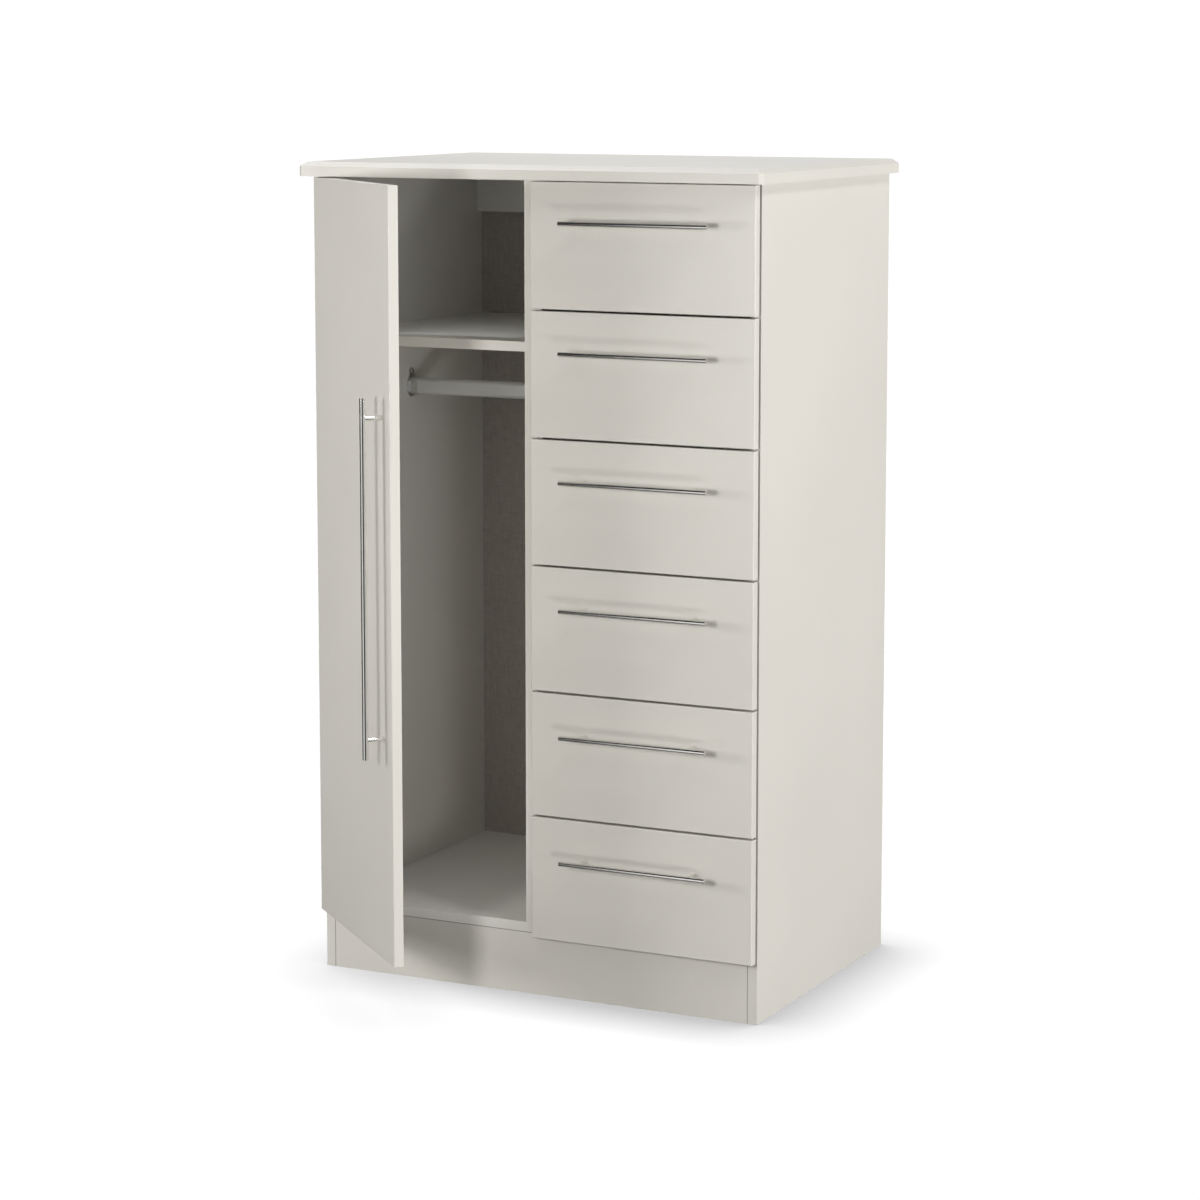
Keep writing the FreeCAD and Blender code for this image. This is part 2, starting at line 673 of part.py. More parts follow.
def make_drawer_box(name, z):
    """Make the two grooved sides and the back, and the base that slides into the grooves."""
    members = []
    groove_floor = f"({BOX_INNER_HALF} + groove_depth)"
    outer = f"({BOX_INNER_HALF} + box_side)"
    for hand, side in (("left", -1), ("right", 1)):
        body = add_body(f"{name}_{hand}_side", BAY_CENTRE, FRONT_REAR_FACE, z)
        sketch = add_sketch(body, "XZ_Plane")
        draw_outline(sketch, [
            (f"{side} * {BOX_INNER_HALF}", "0"),
            (f"{side} * {outer}", "0"),
            (f"{side} * {outer}", "box_height"),
            (f"{side} * {BOX_INNER_HALF}", "box_height"),
            (f"{side} * {BOX_INNER_HALF}", f"base_rise + {GROOVE_HEIGHT}"),
            (f"{side} * {groove_floor}", f"base_rise + {GROOVE_HEIGHT}"),
            (f"{side} * {groove_floor}", "base_rise"),
            (f"{side} * {BOX_INNER_HALF}", "base_rise"),
        ])
        add_pad(body, sketch, BOX_LENGTH, flip=True)
        members.append(body)
    members.append(add_board(f"{name}_back", f"2 * {BOX_INNER_HALF}", "box_side",
                             "box_height - base_rise - base_thickness",
                             f"{BAY_CENTRE} - {BOX_INNER_HALF}",
                             f"{FRONT_REAR_FACE} + {BOX_LENGTH} - box_side",
                             f"{z} + base_rise + base_thickness"))
    add_group(f"{name}_box", members)
    base_reach = "(groove_depth - base_slack)"
    base = add_board(f"{name}_base", f"2 * {BASE_HALF}", f"{BOX_LENGTH} + {base_reach}",
                     "base_thickness", f"{BAY_CENTRE} - {BASE_HALF}",
                     f"{FRONT_REAR_FACE} - {base_reach}", f"{z} + base_rise")
    keep(base, f"{name}_base")


def make_drawer_runners(name, z):
    """Make the drawer's two members, each drawn about its rear roller's axis.

    The side of the box stands on the lower flange, and the lip runs over the front roller.
    """
    body = add_body(f"{name}_runner", f"{BAY_CENTRE} + {BAY_WIDTH} / 2", REAR_ROLLER_Y,
                    f"{z} + {ROLLER_RISE}")
    web = "-(box_side_gap - runner_metal)"
    flange_edge = "-(box_side_gap + box_side)"
    lip_edge = "-(runner_metal + lip_wall_gap)"
    lip = f"{LIP_RISE} - {ROLLER_RISE}"
    profile = add_sketch(body, "XZ_Plane", f"{BOX_LENGTH} - rear_roller_inset")
    draw_outline(profile, [
        (flange_edge, f"-{ROLLER_RISE} - runner_metal"),
        (web, f"-{ROLLER_RISE} - runner_metal"),
        (web, lip),
        (lip_edge, lip),
        (lip_edge, f"{lip} + runner_metal"),
        ("-box_side_gap", f"{lip} + runner_metal"),
        ("-box_side_gap", f"-{ROLLER_RISE}"),
        (flange_edge, f"-{ROLLER_RISE}"),
    ])
    add_pad(body, profile, BOX_LENGTH, flip=True)
    add_axle(body, ALONG_X, web)
    add_group(f"{name}_runners", [body, add_mirrored(body)])


def make_rollers(name, node, y, z, outer_face):
    """Make a pair of rollers on one axis, each with its outer face at a distance in x."""
    body = add_body(f"{name}_{node}_roller", f"{BAY_CENTRE} + {BAY_WIDTH} / 2", y,
                    f"{z} + {ROLLER_RISE}")
    inner_face = f"{outer_face} - {ROLLER_WIDTH}"
    add_turning(body, [
        (outer_face, "axle_radius + axle_fit"),
        (outer_face, "roller_radius"),
        (inner_face, "roller_radius"),
        (inner_face, "axle_radius + axle_fit"),
    ])
    add_group(f"{name}_{node}_rollers", [body, add_mirrored(body)])


def make_drawer(index, name):
    front_z = f"({FRONT_TOP} - {DRAWER_FRONT_HEIGHT} - {index} * {DRAWER_PITCH})"
    box_z = f"({front_z} + box_rise)"
    make_drawer_front(name, front_z)
    make_handle(f"{name}_handle", "drawer", "x", FRONT_CENTRE,
                f"{FRONT_REAR_FACE} - front_thickness",
                f"{front_z} + {DRAWER_FRONT_HEIGHT} - drawer_handle_drop")
    make_drawer_box(name, box_z)
    make_drawer_runners(name, box_z)
    make_rollers(name, "front", FRONT_ROLLER_Y, box_z,
                 "-(runner_metal + roller_web_gap)")
    make_rollers(name, "rear", REAR_ROLLER_Y, box_z,
                 "-(runner_metal + axle_end_gap + axle_overrun)")


def check_document():
    """Stop on any failed feature, bad shape, or cut that took nothing away."""
    for thing in document.Objects:
        if {"Invalid", "Error"} & set(thing.State):
            raise RuntimeError(f"{thing.Name} failed: {thing.State}")
        cutter = thing.TypeId.split("::")[-1].startswith(("Pocket", "Subtractive"))
        if cutter and thing.Shape.Volume >= thing.BaseFeature.Shape.Volume:
            raise RuntimeError(f"{thing.Name} cuts nothing")
    for node in nodes:
        if node.Shape.isNull() or not node.Shape.isValid():
            raise RuntimeError(f"{node.Label} has no valid shape")


make_carcass()
make_hanging_rail()
make_rail_brackets()
make_cabinet_runner()
make_hinge_arms()
make_door()
make_hinge_cups()
hang_on_pin(make_handle("door_handle", "door", "z", DOOR_HANDLE_X, DOOR_OUTER_FACE, DOOR_MIDDLE))
for drawer_index, drawer_name in enumerate(DRAWER_NAMES):
    make_drawer(drawer_index, drawer_name)
document.recompute()
check_document()

os.makedirs("parts", exist_ok=True)
for node in nodes:
    node.Shape.exportStep(f"parts/{node.Label}.step")
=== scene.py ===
import json
import math

import bmesh
import bpy
from mathutils import Matrix, Vector

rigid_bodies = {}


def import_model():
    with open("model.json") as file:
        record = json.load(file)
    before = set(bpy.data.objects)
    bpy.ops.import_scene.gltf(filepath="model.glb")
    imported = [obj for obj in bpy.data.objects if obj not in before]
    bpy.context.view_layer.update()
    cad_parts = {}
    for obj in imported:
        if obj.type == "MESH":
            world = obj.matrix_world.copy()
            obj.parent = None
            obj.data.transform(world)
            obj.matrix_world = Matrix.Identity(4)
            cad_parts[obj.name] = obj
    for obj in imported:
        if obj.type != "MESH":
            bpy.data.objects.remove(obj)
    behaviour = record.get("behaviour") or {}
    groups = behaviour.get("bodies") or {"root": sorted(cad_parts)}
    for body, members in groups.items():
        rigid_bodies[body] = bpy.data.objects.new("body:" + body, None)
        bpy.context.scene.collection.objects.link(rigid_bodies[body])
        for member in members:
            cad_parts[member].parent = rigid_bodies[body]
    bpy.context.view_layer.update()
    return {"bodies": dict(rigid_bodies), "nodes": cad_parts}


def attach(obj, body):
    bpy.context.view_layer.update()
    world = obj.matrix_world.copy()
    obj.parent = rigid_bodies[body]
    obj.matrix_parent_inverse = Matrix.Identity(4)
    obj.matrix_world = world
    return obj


# A greige chifforobe in a white studio: satin foil boards, chrome bar handles, a dull oval
# rail and a woven-print hardboard back. Lengths are in metres, in the frame of the packed
# model: +Z is up and the fronts face -Y.

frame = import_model()
NODES = frame["nodes"]
DRAWER_NAMES = [name for name in frame["bodies"] if name.count("_") == 1]

# Camera
CAMERA_PLACE = (2.2658, -4.3799, 1.4315)
CAMERA_DIP = 7.346
CAMERA_TURN = 26.235
CAMERA_LENS = 98.88
CAMERA_SENSOR = 36
CAMERA_SHIFT_Y = -0.10

# Colours, as linear light
FOIL = (0.660, 0.635, 0.583)
FOIL_INSIDE = (0.655, 0.632, 0.583)
PRINT_DARK = (0.270, 0.238, 0.205)
PRINT_LIGHT = (0.405, 0.362, 0.318)
CHROME = (0.88, 0.865, 0.83)
NICKEL = (0.58, 0.57, 0.55)
RAIL_STEEL = (0.57, 0.56, 0.525)
ENAMEL = (0.72, 0.72, 0.70)
NYLON = (0.78, 0.77, 0.73)
# Painted shade in the screws' cross recesses: the same steel, darkened to stand for the hollow's
# shade
RECESS_SHADE_TONE = (0.10, 0.10, 0.10)
# Painted shade in the joints at the plinth: its half width and its top, and the dark lines' width
# and tone
PLINTH_ENDS = (0.356, 0.097)
JOINT_SHADE_WIDTH = 0.0013
JOINT_SHADE_TONE = 0.30
WHITE = (1, 1, 1)

# Softened edges of the boards
ARRIS_WIDTH = 0.0006
ARRIS_FROM = 35                 # degrees between two faces, from which their edge is softened

# Screws: radius and height of a head, and the rings of its profile as shares of both
PAN_HEAD = (0.0040, 0.0022, ((1, 0), (1, 0.30), (0.90, 0.72), (0.66, 1)))
FLAT_HEAD = (0.0032, 0.0005, ((1, 0), (1, 0.50), (0.92, 1)))
HEAD_SIDES = 20
CROSS_REACH = 0.46
CROSS_HALF = 0.13
RECESS_FLOOR = 0.35             # height of the recess's floor, as a share of the head's
RECESS_TAPER = 0.8
HEAD_SINK = 0.00005
SCREW_TURN = 37                 # degrees from each screw's cross to the next one's

# Where the screws sit
HINGES = (0.194, 0.670, 1.146)
PLATE_SCREW = (-0.3545, 0.0295, 0.016)
BRACKET_SCREWS = ((-0.354, 1), (-0.017, -1))
BRACKET_SCREW_Y = 0.2485
BRACKET_SCREW_Z = 0.925
HINGE_PIN = (-0.3629, -0.016)
DOOR_OPEN = 42
CUP_SCREW = (0.0142, 0.0067, 0.024)
DOOR_HANDLE_SCREW = (0.3249, 0.0055, 0.238)
DRAWER_TOP = 1.246
DRAWER_BOTTOM = 1.0565
DRAWER_PITCH = 0.1925
HANDLE_DROP = 0.0605
HANDLE_SCREWS_X = (0.09635, 0.27635)
FRONT_REAR_FACE = -0.0105
RUNNER_WEBS = ((0.0162, 1), (0.3548, -1))
RUNNER_SCREWS_Y = (0.069, 0.389)
RUNNER_MIDDLE = 0.0385

# Studio: each softbox has its place, its size and its power, and faces the middle of the
# fronts. The one below shines up through the floor, as a light table does.
LIT_POINT = (0, 0, 0.65)
SOFTBOXES = {
    "front": ((-0.03, -2.6, 1.07), (0.35, 0.5), 28),
    "left": ((-2.4, -1.9, 1.1), (0.8, 0.8), 34),
    "below": ((1.45, -1.65, -0.08), (0.25, 0.25), 7),
    "high": ((0.0, -1.9, 3.1), (1.6, 1.2), 11),
    "right": ((2.6, -0.9, 3.5), (0.6, 0.6), 36),
    "side": ((4.4, 0.5, 1.1), (1.2, 1.2), 145),
    "crown": ((-0.9, 1.4, 3.0), (2.4, 1.4), 42),
    "far_left": ((-2.8, -1.3, 1.2), (0.8, 0.8), 11),
}
INNER_CARD = ((-0.16, -0.012, 0.70), (0.20, 1.08), 0.40)
CARD_FACES = (-0.20, 0.5, 0.60)
CARD_TINT = (0.93, 1.0, 1.09)
CARD_LIGHTS = ("left_side_panel", "left_divider_panel", "back_panel", "shelf", "floor_panel",
               "top_board", "top_back_rail", "hanging_rail", "rail_brackets")
ROOM_LIGHT = 0.05
BACKDROP = 1.05
# What shines back from gloss: a wall behind, and in front a dark room with bright screens.
# Stops run from straight down to straight up, and from the left to the right.
MIRRORED_WALL = [(0.47, 0.25), (0.50, 1.10), (0.72, 1.10), (0.86, 0.30)]
WALL_ENDS = [(0.20, 0), (0.26, 1)]
SCREEN_HEIGHT = [(0.08, 0.15), (0.28, 0.35), (0.34, 1), (0.62, 1), (0.67, 0)]
SCREENS = [(0.09, 0.02), (0.14, 0.9), (0.20, 0.9), (0.262, 0.02), (0.2795, 0.04),
           (0.2945, 1.3), (0.45, 1.0), (0.52, 0.04), (0.86, 0.04), (0.93, 1.2)]
ROOM_TO_WALL = (-0.35, -0.05)   # the room in front gives way to the wall between these Y
DARK_ROOM = 0.025
MIRRORED = 0.76
FLOOR_REACH = 30
FLOOR_BOUNCE = 0.20
FLOOR_WHITE = 1.03
# Painted contact shade on the floor: how far the glow drops at the object's foot, and how far it
# reaches
CONTACT_SHADE = 0.46
SHADE_REACH = 0.15
# The painted contact shade is weaker on the left: where it grows, in X, and its share before
# that.
PAINTED_SHADE_LEFT = (-0.50, -0.10, 0.35)


# --- Node graphs -------------------------------------------------------------------------


def new_material(name, color, roughness, metallic=0.0, specular=0.5):
    """Make a material with a Principled shader, and give back its nodes."""
    material = bpy.data.materials.new(name)
    material.use_nodes = True
    tree = material.node_tree
    shader = tree.nodes["Principled BSDF"]
    shader.inputs["Base Color"].default_value = (*color, 1)
    shader.inputs["Roughness"].default_value = roughness
    shader.inputs["Metallic"].default_value = metallic
    shader.inputs["Specular IOR Level"].default_value = specular
    return material, tree, shader


def object_coordinates(tree, scale=(1, 1, 1)):
    """Give the object's own coordinates, in metres, stretched by a scale on each axis."""
    coordinates = tree.nodes.new("ShaderNodeTexCoord")
    mapping = tree.nodes.new("ShaderNodeMapping")
    mapping.inputs["Scale"].default_value = scale
    tree.links.new(coordinates.outputs["Object"], mapping.inputs["Vector"])
    return mapping.outputs["Vector"]


def noise(tree, vector, scale, detail=3.0, roughness=0.5):
    """Give a noise from 0 to 1 over a vector."""
    node = tree.nodes.new("ShaderNodeTexNoise")
    node.inputs["Scale"].default_value = scale
    node.inputs["Detail"].default_value = detail
    node.inputs["Roughness"].default_value = roughness
    tree.links.new(vector, node.inputs["Vector"])
    return node.outputs["Fac"]


def spread(tree, value, low, high, start=0, stop=1):
    """Map the values from a start to a stop onto a range."""
    node = tree.nodes.new("ShaderNodeMapRange")
    node.inputs["From Min"].default_value = start
    node.inputs["From Max"].default_value = stop
    node.inputs["To Min"].default_value = low
    node.inputs["To Max"].default_value = high
    tree.links.new(value, node.inputs["Value"])
    return node.outputs["Result"]


def ramp(tree, value, stops):
    """Colour a value by stops of position and colour."""
    node = tree.nodes.new("ShaderNodeValToRGB")
    elements = node.color_ramp.elements
    while len(elements) < len(stops):
        elements.new(1.0)
    for element, (position, color) in zip(elements, stops):
        element.position = position
        element.color = (*color, 1)
    tree.links.new(value, node.inputs["Fac"])
    return node.outputs["Color"]


def grey_ramp(tree, value, stops):
    """Turn a value to a grey by stops of position and level."""
    return ramp(tree, value, [(place, (level,) * 3) for place, level in stops])


def bump(tree, shader, height, strength, distance):
    """Raise a shader's surface by a height."""
    node = tree.nodes.new("ShaderNodeBump")
    node.inputs["Strength"].default_value = strength
    node.inputs["Distance"].default_value = distance
    tree.links.new(height, node.inputs["Height"])
    tree.links.new(node.outputs["Normal"], shader.inputs["Normal"])


def shade(color, factor):
    return tuple(channel * factor for channel in color)


# --- Materials ---------------------------------------------------------------------------


def make_foil(name, color, roughness, cloud_scale=3.0):
    """Make the boards' satin foil: faint clouds of tone and a fine pressed grain."""
    material, tree, shader = new_material(name, color, roughness)
    vector = object_coordinates(tree)
    clouds = noise(tree, vector, cloud_scale, 4.0)
    tone = ramp(tree, clouds, [(0.3, shade(color, 0.975)), (0.7, shade(color, 1.02))])
    tree.links.new(tone, shader.inputs["Base Color"])
    haze = noise(tree, vector, 9.0, 3.0)
    gloss = spread(tree, haze, roughness - 0.04, roughness + 0.05)
    tree.links.new(gloss, shader.inputs["Roughness"])
    bump(tree, shader, noise(tree, vector, 900.0, 2.0), 0.05, 0.0004)
    return material


def make_plinth_foil(name, color, roughness):
    """Make the foil with dark lines of painted shade in the joints where the plinth meets its
    neighbours.
    """
    material = make_foil(name, color, roughness)
    tree = material.node_tree
    shader = tree.nodes["Principled BSDF"]
    split = tree.nodes.new("ShaderNodeSeparateXYZ")
    tree.links.new(object_coordinates(tree), split.inputs[0])
    from_middle = tree.nodes.new("ShaderNodeMath")
    from_middle.operation = "ABSOLUTE"
    tree.links.new(split.outputs["X"], from_middle.inputs[0])
    joint_shade = tree.nodes.new("ShaderNodeMath")
    joint_shade.operation = "MAXIMUM"
    for socket, value, stop in zip(joint_shade.inputs, (from_middle.outputs[0], split.outputs["Z"]),
                                   PLINTH_ENDS):
        tree.links.new(spread(tree, value, 0, 1, start=stop - JOINT_SHADE_WIDTH,
                              stop=stop - JOINT_SHADE_WIDTH * 0.7), socket)
    # The base colour is darkened along the joints: painted shade of the gaps between the boards.
    joint_shaded = tree.nodes.new("ShaderNodeMix")
    joint_shaded.data_type = "RGBA"
    joint_shaded.inputs["B"].default_value = (*shade(color, JOINT_SHADE_TONE), 1)
    tree.links.new(joint_shade.outputs[0], joint_shaded.inputs["Factor"])
    tree.links.new(shader.inputs["Base Color"].links[0].from_socket, joint_shaded.inputs["A"])
    tree.links.new(joint_shaded.outputs["Result"], shader.inputs["Base Color"])
    return material


def make_woven_print(name):
    """Make the hardboard's dark linen print: crossed threads with slubs."""
    material, tree, shader = new_material(name, PRINT_DARK, 0.62, specular=0.3)
    threads = []
    for scale in ((1100, 50, 50), (50, 1100, 1100)):
        threads.append(noise(tree, object_coordinates(tree, scale), 1.0, 2.0, 0.6))
    weave = tree.nodes.new("ShaderNodeMath")
    weave.operation = "ADD"
    for thread, socket in zip(threads, weave.inputs):
        tree.links.new(thread, socket)
    halved = tree.nodes.new("ShaderNodeMath")
    halved.operation = "MULTIPLY"
    halved.inputs[1].default_value = 0.5
    tree.links.new(weave.outputs[0], halved.inputs[0])
    color = ramp(tree, halved.outputs[0], [(0.35, PRINT_DARK), (0.65, PRINT_LIGHT)])
    tree.links.new(color, shader.inputs["Base Color"])
    bump(tree, shader, halved.outputs[0], 0.25, 0.0003)
    return material


def make_metal(name, color, roughness, stretch, grain, metallic=1.0):
    """Make a metal whose fine drawn lines run along one axis."""
    material, tree, shader = new_material(name, color, roughness, metallic)
    lines = noise(tree, object_coordinates(tree, stretch), 1.0, 3.0)
    tree.links.new(spread(tree, lines, roughness * 0.8, roughness * 1.3),
                   shader.inputs["Roughness"])
    tone = ramp(tree, lines, [(0.25, shade(color, 0.94)), (0.75, shade(color, 1.04))])
    tree.links.new(tone, shader.inputs["Base Color"])
    bump(tree, shader, lines, grain, 0.0002)
    return material


def make_enamel(name, color, roughness):
    """Make stoved enamel or moulded nylon: even, with a slight orange peel."""
    material, tree, shader = new_material(name, color, roughness)
    vector = object_coordinates(tree)
    patches = noise(tree, vector, 40.0, 2.0)
    tone = ramp(tree, patches, [(0.3, shade(color, 0.96)), (0.7, shade(color, 1.02))])
    tree.links.new(tone, shader.inputs["Base Color"])
    bump(tree, shader, noise(tree, vector, 600.0, 1.0), 0.08, 0.0003)
    return material


MATERIALS = {
    "foil": make_foil("greige_foil", FOIL, 0.36),
    # The plinth's foil carries painted shade in its joints.
    "plinth": make_plinth_foil("plinth_foil", FOIL, 0.36),
    "inside": make_foil("inner_foil", FOIL_INSIDE, 0.42),
    "print": make_woven_print("woven_print"),
    "chrome": make_metal("chrome", CHROME, 0.07, (60, 60, 60), 0.0),
    "nickel": make_metal("nickel", NICKEL, 0.28, (200, 200, 200), 0.05),
    "rail": make_metal("rail_steel", RAIL_STEEL, 0.40, (12, 600, 600), 0.08, metallic=0.35),
    "enamel": make_enamel("runner_enamel", ENAMEL, 0.35),
    "nylon": make_enamel("roller_nylon", NYLON, 0.5),
    "screw": make_metal("screw_steel", NICKEL, 0.3, (400, 400, 400), 0.03),
    # The recess material's dark tone is painted shade inside the cross of each screw head.
    "recess": make_metal("screw_recess_shade", RECESS_SHADE_TONE, 0.5, (400, 400, 400), 0.05),
}


def material_of(node):
    """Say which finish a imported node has."""
    if node == "back_panel" or node.endswith("_base"):
        return "print"
    if node.endswith("handle"):
        return "chrome"
    if node.endswith("rollers"):
        return "nylon"
    if node.endswith("runners"):
        return "enamel"
    if node == "hanging_rail":
        return "rail"
    if node == "plinth":
        return "plinth"
    if node in ("rail_brackets", "hinge_arms", "hinge_cups"):
        return "nickel"
    if node in ("shelf", "floor_panel", "top_back_rail"):
        return "inside"
    return "foil"


def dress_nodes():
    """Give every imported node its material, and a softened arris where it is a board."""
    for name, thing in NODES.items():
        material = MATERIALS[material_of(name)]
        if not thing.material_slots:
            thing.data.materials.append(material)
        for slot in thing.material_slots:
            slot.material = material
        if name.endswith(("panel", "board", "shelf", "plinth", "rail", "door", "front")):
            arris = thing.modifiers.new("arris", "BEVEL")
            arris.width = ARRIS_WIDTH
            arris.segments = 2
            arris.limit_method = "ANGLE"
            arris.angle_limit = math.radians(ARRIS_FROM)
            arris.harden_normals = False


# --- Screws ------------------------------------------------------------------------------


def add_loop(shape, placed, points):
    """Add a loop of corners, moved to where the head is placed."""
    return [shape.verts.new(placed @ Vector(point)) for point in points]


def add_wall(shape, lower, upper):
    """Join two loops of the same length by quads."""
    faces = []
    for index, corner in enumerate(lower):
        following = (index + 1) % len(lower)
        faces.append(shape.faces.new((corner, lower[following], upper[following], upper[index])))
    return faces


def loop_edges(shape, loop):
    """Give the edges round a loop, and make those that are missing."""
    return [shape.edges.get((loop[index - 1], loop[index])) or
            shape.edges.new((loop[index - 1], loop[index])) for index in range(len(loop))]


def add_head(shape, head, placed):
    """Add a screw head with a cross recess, standing on its own XY plane."""
    radius, height, rings = head
    angles = [math.tau * side / HEAD_SIDES for side in range(HEAD_SIDES)]
    loops = []
    for reach, rise in rings:
        loops.append(add_loop(shape, placed, [
            (reach * radius * math.cos(angle), reach * radius * math.sin(angle), rise * height)
            for angle in angles]))
    shape.faces.new(loops[0])
    for lower, upper in zip(loops, loops[1:]):
        add_wall(shape, lower, upper)
    reach, half = CROSS_REACH * radius, CROSS_HALF * radius
    arm = ((reach, -half), (reach, half), (half, half))
    cross = []
    for _ in range(4):
        cross += arm
        arm = tuple((-y, x) for x, y in arm)
    rim = add_loop(shape, placed, [(x, y, height) for x, y in cross])
    foot = add_loop(shape, placed, [(x * RECESS_TAPER, y * RECESS_TAPER, height * RECESS_FLOOR)
                                    for x, y in cross])
    edges = loop_edges(shape, loops[-1]) + loop_edges(shape, rim)
    bmesh.ops.triangle_fill(shape, edges=edges, use_beauty=True)
    # The recess's walls and floor take the darkened material, which is painted shade.
    for face in (*add_wall(shape, rim, foot), shape.faces.new(foot)):
        face.material_index = 1


def add_screws(name, body, head, places):
    """Add a set of screws to a body, each given by its seat and the way that it faces."""
    shape = bmesh.new()
    for index, (seat, faces) in enumerate(places):
        way = Vector(faces).normalized()
        turned = Matrix.Rotation(math.radians(SCREW_TURN * index), 4, "Z")
        seat = Vector(seat) - way * HEAD_SINK
        upright = way.to_track_quat("Z", "Y").to_matrix().to_4x4()
        add_head(shape, head, Matrix.Translation(seat) @ upright @ turned)
    bmesh.ops.recalc_face_normals(shape, faces=shape.faces)
    mesh = bpy.data.meshes.new(name)
    shape.to_mesh(mesh)
    shape.free()
    mesh.materials.append(MATERIALS["screw"])
    mesh.materials.append(MATERIALS["recess"])
    screws = bpy.data.objects.new(name, mesh)
    bpy.context.scene.collection.objects.link(screws)
    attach(screws, body)


def on_door(x, y, z):
    """Place a point of the closed door's own frame, which turns about the hinges' pins."""
    turned = Matrix.Rotation(math.radians(-DOOR_OPEN), 3, "Z") @ Vector((x, y, 0))
    return (HINGE_PIN[0] + turned.x, HINGE_PIN[1] + turned.y, z)


def make_carcass_screws():
    x, y, spread_z = PLATE_SCREW
    add_screws("hinge_plate_screws", "carcass", PAN_HEAD,
               [((x, y, z + side * spread_z), (1, 0, 0)) for z in HINGES for side in (-1, 1)])
    add_screws("rail_bracket_screws", "carcass", PAN_HEAD,
               [((x, BRACKET_SCREW_Y, BRACKET_SCREW_Z), (way, 0, 0))
                for x, way in BRACKET_SCREWS])
    for index in range(len(DRAWER_NAMES)):
        z = DRAWER_BOTTOM - index * DRAWER_PITCH + RUNNER_MIDDLE
        add_screws(f"cabinet_runner_{index + 1}_screws", "carcass", FLAT_HEAD,
                   [((x, y, z), (way, 0, 0)) for x, way in RUNNER_WEBS for y in RUNNER_SCREWS_Y])


def make_door_screws():
    inward = (math.sin(math.radians(DOOR_OPEN)), math.cos(math.radians(DOOR_OPEN)), 0)
    x, y, spread_z = CUP_SCREW
    add_screws("hinge_cup_screws", "door", PAN_HEAD,
               [(on_door(x, y, z + side * spread_z), inward) for z in HINGES for side in (-1, 1)])
    x, y, spread_z = DOOR_HANDLE_SCREW
    add_screws("door_handle_screws", "door", PAN_HEAD,
               [(on_door(x, y, HINGES[1] + side * spread_z), inward) for side in (-1, 1)])


def make_drawer_screws():
    for index, name in enumerate(DRAWER_NAMES):
        z = DRAWER_TOP - index * DRAWER_PITCH - HANDLE_DROP
        add_screws(f"{name}_handle_screws", name, PAN_HEAD,
                   [((x, FRONT_REAR_FACE, z), (0, 1, 0)) for x in HANDLE_SCREWS_X])


# --- Floor, light and camera -------------------------------------------------------------


def mix_shaders(tree, factor, first, second):
    """Mix two shaders, the second by the factor."""
    mixed = tree.nodes.new("ShaderNodeMixShader")
    tree.links.new(factor, mixed.inputs[0])
    tree.links.new(first, mixed.inputs[1])
    tree.links.new(second, mixed.inputs[2])
    return mixed.outputs[0]


def make_floor():
    """Make a wide floor that looks white with a painted contact shade round the object's foot,
    and throws less light back than it shows.
    """
    mesh = bpy.data.meshes.new("studio_floor")
    corners = [(-FLOOR_REACH, -FLOOR_REACH, 0), (FLOOR_REACH, -FLOOR_REACH, 0),
               (FLOOR_REACH, FLOOR_REACH, 0), (-FLOOR_REACH, FLOOR_REACH, 0)]
    mesh.from_pydata(corners, [], [(0, 1, 2, 3)])
    floor = bpy.data.objects.new("studio_floor", mesh)
    bpy.context.scene.collection.objects.link(floor)
    material = bpy.data.materials.new("studio_white")
    material.use_nodes = True
    tree = material.node_tree
    # Painted contact shade: the floor's glow is dimmed where the object is near, weaker on the
    # left.
    nearness = tree.nodes.new("ShaderNodeAmbientOcclusion")
    nearness.inputs["Distance"].default_value = SHADE_REACH
    seen = tree.nodes.new("ShaderNodeEmission")
    split = tree.nodes.new("ShaderNodeSeparateXYZ")
    tree.links.new(object_coordinates(tree), split.inputs[0])
    grows_from, grows_to, share = PAINTED_SHADE_LEFT
    shade_by_side = tree.nodes.new("ShaderNodeMath")
    shade_by_side.operation = "MULTIPLY"
    tree.links.new(spread(tree, nearness.outputs["AO"], CONTACT_SHADE, 0, start=0.5),
                   shade_by_side.inputs[0])
    tree.links.new(spread(tree, split.outputs["X"], share, 1, start=grows_from, stop=grows_to),
                   shade_by_side.inputs[1])
    glow = tree.nodes.new("ShaderNodeMath")
    glow.operation = "SUBTRACT"
    glow.inputs[0].default_value = FLOOR_WHITE
    tree.links.new(shade_by_side.outputs[0], glow.inputs[1])
    tree.links.new(glow.outputs[0], seen.inputs["Strength"])
    bounce = tree.nodes.new("ShaderNodeBsdfDiffuse")
    bounce.inputs["Color"].default_value = (*(FLOOR_BOUNCE,) * 3, 1)
    path = tree.nodes.new("ShaderNodeLightPath")
    unmirrored = mix_shaders(tree, path.outputs["Is Glossy Ray"], bounce.outputs[0],
                             tree.nodes.new("ShaderNodeBsdfTransparent").outputs[0])
    surface = mix_shaders(tree, path.outputs["Is Camera Ray"], unmirrored, seen.outputs[0])
    tree.links.new(surface, tree.nodes["Material Output"].inputs["Surface"])
    mesh.materials.append(material)
    return floor


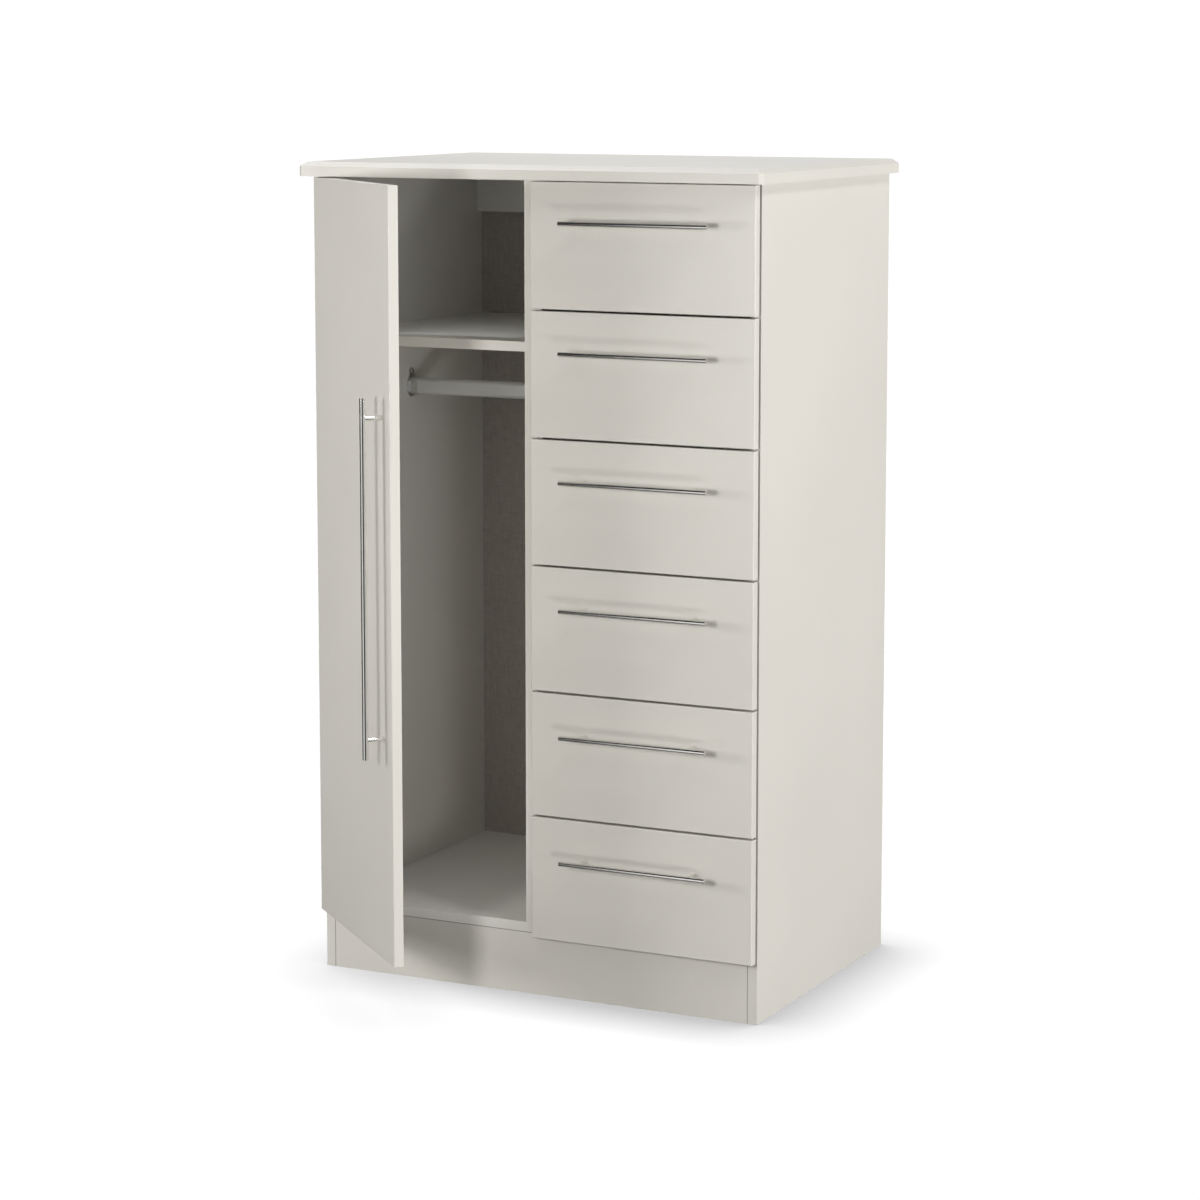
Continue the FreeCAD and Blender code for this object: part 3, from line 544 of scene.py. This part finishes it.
def make_world():
    """Light the room evenly, show white behind the object, and a dimmer room in reflections."""
    world = bpy.data.worlds.new("studio")
    bpy.context.scene.world = world
    world.use_nodes = True
    tree = world.node_tree
    tree.nodes.clear()
    output = tree.nodes.new("ShaderNodeOutputWorld")
    path = tree.nodes.new("ShaderNodeLightPath")
    room, mirrored, behind = (tree.nodes.new("ShaderNodeBackground") for _ in range(3))
    for background, strength in ((room, ROOM_LIGHT), (behind, BACKDROP), (mirrored, MIRRORED)):
        background.inputs["Color"].default_value = (*WHITE, 1)
        background.inputs["Strength"].default_value = strength
    coordinates = tree.nodes.new("ShaderNodeTexCoord")
    split = tree.nodes.new("ShaderNodeSeparateXYZ")
    tree.links.new(coordinates.outputs["Generated"], split.inputs[0])
    height = spread(tree, split.outputs["Z"], 0, 1, start=-1)
    across = spread(tree, split.outputs["X"], 0, 1, start=-1)
    screens = tree.nodes.new("ShaderNodeMath")
    screens.operation = "MULTIPLY_ADD"
    tree.links.new(grey_ramp(tree, across, SCREENS), screens.inputs[0])
    tree.links.new(grey_ramp(tree, height, SCREEN_HEIGHT), screens.inputs[1])
    screens.inputs[2].default_value = DARK_ROOM
    turned = tree.nodes.new("ShaderNodeMix")
    turned.data_type = "RGBA"
    room_ends, wall_starts = ROOM_TO_WALL
    tree.links.new(spread(tree, split.outputs["Y"], 0, 1, start=room_ends, stop=wall_starts),
                   turned.inputs["Factor"])
    tree.links.new(screens.outputs[0], turned.inputs["A"])
    wall = tree.nodes.new("ShaderNodeMath")
    wall.operation = "MULTIPLY"
    tree.links.new(grey_ramp(tree, height, MIRRORED_WALL), wall.inputs[0])
    tree.links.new(grey_ramp(tree, across, WALL_ENDS), wall.inputs[1])
    tree.links.new(wall.outputs[0], turned.inputs["B"])
    tree.links.new(turned.outputs["Result"], mirrored.inputs["Color"])
    dim = mix_shaders(tree, path.outputs["Is Glossy Ray"], room.outputs[0], mirrored.outputs[0])
    whole = mix_shaders(tree, path.outputs["Is Camera Ray"], dim, behind.outputs[0])
    tree.links.new(whole, output.inputs["Surface"])


def add_softbox(name, place, size, power, faces=LIT_POINT):
    """Hang a softbox that faces a point."""
    light = bpy.data.lights.new(name, "AREA")
    light.shape = "RECTANGLE"
    light.size, light.size_y = size
    light.energy = power
    lamp = bpy.data.objects.new(name, light)
    lamp.location = place
    lamp.rotation_euler = (Vector(faces) - lamp.location).to_track_quat("-Z", "Y").to_euler()
    lamp.visible_camera = False
    bpy.context.scene.collection.objects.link(lamp)
    return lamp


def make_lights(floor):
    for name, setting in SOFTBOXES.items():
        lamp = add_softbox(name, *setting)
        if lamp.location.z < 0:
            lamp.visible_glossy = False
            shone_through = bpy.data.collections.new(f"{name}_shines_through")
            shone_through.objects.link(floor)
            lamp.light_linking.blocker_collection = shone_through
            shone_through.collection_objects[0].light_linking.link_state = "EXCLUDE"
    card = add_softbox("inner_card", *INNER_CARD, faces=CARD_FACES)
    card.data.color = CARD_TINT
    lit = bpy.data.collections.new("card_lights")
    for name in CARD_LIGHTS:
        lit.objects.link(NODES[name])
    card.light_linking.receiver_collection = lit


def make_camera():
    data = bpy.data.cameras.new("camera")
    data.lens = CAMERA_LENS
    data.sensor_width = CAMERA_SENSOR
    data.shift_y = CAMERA_SHIFT_Y
    camera = bpy.data.objects.new("camera", data)
    camera.location = CAMERA_PLACE
    camera.rotation_euler = (math.radians(90 - CAMERA_DIP), 0, math.radians(CAMERA_TURN))
    bpy.context.scene.collection.objects.link(camera)
    bpy.context.scene.camera = camera


dress_nodes()
make_carcass_screws()
make_door_screws()
make_drawer_screws()
make_world()
make_lights(make_floor())
make_camera()
bpy.context.scene.view_settings.view_transform = "Standard"
bpy.context.view_layer.update()
